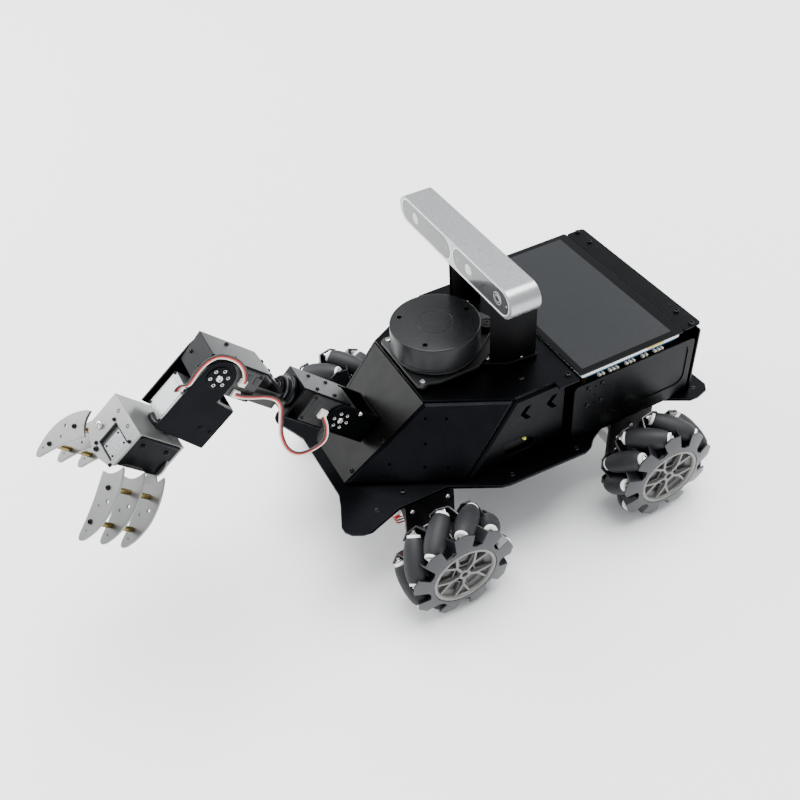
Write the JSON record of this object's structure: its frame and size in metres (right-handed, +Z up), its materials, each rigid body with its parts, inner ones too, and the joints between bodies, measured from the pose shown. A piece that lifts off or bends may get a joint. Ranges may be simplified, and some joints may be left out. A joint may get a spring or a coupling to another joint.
{
  "type": "mobile robot with gripper arm",
  "caption": "Wheeled robot with Mecanum wheels, sheet-metal body, touch display, scanning rangefinder, depth camera on an arch and a gripper arm.",
  "frame": {"origin": "on the ground, in the middle of the robot's overall length and width", "axes": "+X forwards, towards the gripper, +Y to the robot's left, +Z up"},
  "size_m": [0.523, 0.2576, 0.259],
  "materials": {
    "black_sheet": "satin",
    "black_bracket": "satin",
    "roller_rubber": "matte",
    "hub_black": "gloss",
    "cap_grey": "satin",
    "motor_metal": "satin",
    "display_glass": "gloss",
    "display_white": "satin",
    "circuit_blue": "satin",
    "circuit_green": "satin",
    "battery_wrap": "satin",
    "turret_plastic": "satin",
    "sensor_base": "satin",
    "belt_rubber": "matte",
    "pulley_metal": "satin",
    "camera_silver": "satin",
    "camera_pane": "gloss",
    "servo_case": "satin",
    "servo_silver": "satin",
    "gripper_grey": "satin",
    "lead_wire": "satin"
  },
  "bodies": {
    "chassis": {"base_plate": "black_sheet", "deck": "black_sheet", "front_panel": "black_sheet", "cheek_left": "black_sheet", "cheek_right": "black_sheet", "flank_left": "black_sheet", "flank_right": "black_sheet", "side_wall_left": "black_sheet", "side_wall_right": "black_sheet", "rear_panel": "black_sheet", "rear_strip": "black_sheet", "arm_mount": "black_bracket", "camera_arch": "black_bracket", "motor_bracket_front_left": "black_bracket", "motor_bracket_front_right": "black_bracket", "motor_bracket_rear_left": "black_bracket", "motor_bracket_rear_right": "black_bracket", "motor_front_left": "motor_metal", "motor_front_right": "motor_metal", "motor_rear_left": "motor_metal", "motor_rear_right": "motor_metal", "display_glass": "display_glass", "display_module": "display_white", "display_board": "circuit_blue", "battery": "battery_wrap", "drive_board": "circuit_green", "computer_board": "circuit_green", "rangefinder_base": "sensor_base", "rangefinder_motor": "motor_metal", "drive_belt": "belt_rubber"},
    "wheel_front_left": {"rollers_front_left": "roller_rubber", "hub_plate_front_left": "hub_black", "centre_cap_front_left": "cap_grey"},
    "wheel_front_right": {"rollers_front_right": "roller_rubber", "hub_plate_front_right": "hub_black", "centre_cap_front_right": "cap_grey"},
    "wheel_rear_left": {"rollers_rear_left": "roller_rubber", "hub_plate_rear_left": "hub_black", "centre_cap_rear_left": "cap_grey"},
    "wheel_rear_right": {"rollers_rear_right": "roller_rubber", "hub_plate_rear_right": "hub_black", "centre_cap_rear_right": "cap_grey"},
    "turret": {"turret": "turret_plastic"},
    "pulley": {"drive_pulley": "pulley_metal"},
    "camera": {"camera_body": "camera_silver", "camera_window_left": "camera_pane", "camera_window_right": "camera_pane"},
    "shoulder": {"shoulder_bracket": "black_bracket", "shoulder_servo": "servo_case", "lead_shoulder": "lead_wire"},
    "upper_arm": {"roll_servo": "servo_case", "elbow_bracket": "black_bracket", "elbow_servo": "servo_case", "lead_elbow": "lead_wire"},
    "forearm": {"forearm_link": "black_bracket", "wrist_servo": "servo_silver"},
    "gripper": {"gripper_frame": "gripper_grey", "gripper_servo": "servo_case"},
    "jaw_left": {"jaw_left": "gripper_grey"},
    "jaw_right": {"jaw_right": "gripper_grey"}
  },
  "joints": [
    {"name": "wheel_spin_front_left", "type": "hinge", "parent": "chassis", "child": "wheel_front_left", "pos_m": [0.0039, 0.1087, 0.0472], "axis": [0, 1, 0], "continuous": true},
    {"name": "wheel_spin_front_right", "type": "hinge", "parent": "chassis", "child": "wheel_front_right", "pos_m": [0.0039, -0.1087, 0.0472], "axis": [0, 1, 0], "continuous": true},
    {"name": "wheel_spin_rear_left", "type": "hinge", "parent": "chassis", "child": "wheel_rear_left", "pos_m": [-0.1944, 0.1087, 0.0472], "axis": [0, 1, 0], "continuous": true},
    {"name": "wheel_spin_rear_right", "type": "hinge", "parent": "chassis", "child": "wheel_rear_right", "pos_m": [-0.1944, -0.1087, 0.0472], "axis": [0, 1, 0], "continuous": true},
    {"name": "turret_spin", "type": "hinge", "parent": "chassis", "child": "turret", "pos_m": [-0.0465, 0, 0.1726], "axis": [0, 0, 1], "continuous": true},
    {"name": "pulley_spin", "type": "hinge", "parent": "chassis", "child": "pulley", "pos_m": [-0.0938, 0, 0.1666], "axis": [0, 0, 1], "continuous": true},
    {"name": "camera_tilt", "type": "hinge", "parent": "chassis", "child": "camera", "pos_m": [-0.0853, 0, 0.2326], "axis": [0, 1, 0], "range_deg": [-12, 12]},
    {"name": "shoulder_pitch", "type": "hinge", "parent": "chassis", "child": "shoulder", "pos_m": [0.0484, 0, 0.1461], "axis": [0, 1, 0], "range_deg": [-50, 40]},
    {"name": "forearm_roll", "type": "hinge", "parent": "shoulder", "child": "upper_arm", "pos_m": [0.0484, 0, 0.1461], "axis": [0.6997, 0, 0.7145], "range_deg": [-90, 90], "deforming": ["lead_shoulder"]},
    {"name": "elbow_pitch", "type": "hinge", "parent": "upper_arm", "child": "forearm", "pos_m": [0.12956, 0, 0.22898], "axis": [0, 1, 0], "range_deg": [-80, 18], "deforming": ["lead_elbow"]},
    {"name": "wrist_roll", "type": "hinge", "parent": "forearm", "child": "gripper", "pos_m": [0.12956, 0, 0.22898], "axis": [0.7986, 0, -0.6018], "range_deg": [-90, 90]},
    {"name": "jaw_left_swing", "type": "hinge", "parent": "gripper", "child": "jaw_left", "pos_m": [0.19223, 0.01223, 0.17922], "axis": [0.5937, 0.1633, 0.7879], "range_deg": [-36.5, 15]},
    {"name": "jaw_right_swing", "type": "hinge", "parent": "gripper", "child": "jaw_right", "pos_m": [0.19467, -0.01223, 0.18245], "axis": [0.5937, 0.1633, 0.7879], "range_deg": [-15, 36.5]}
  ],
  "couplings": [
    {"joint": "pulley_spin", "follows": "turret_spin", "ratio": 6.25},
    {"joint": "jaw_right_swing", "follows": "jaw_left_swing", "ratio": -1}
  ]
}
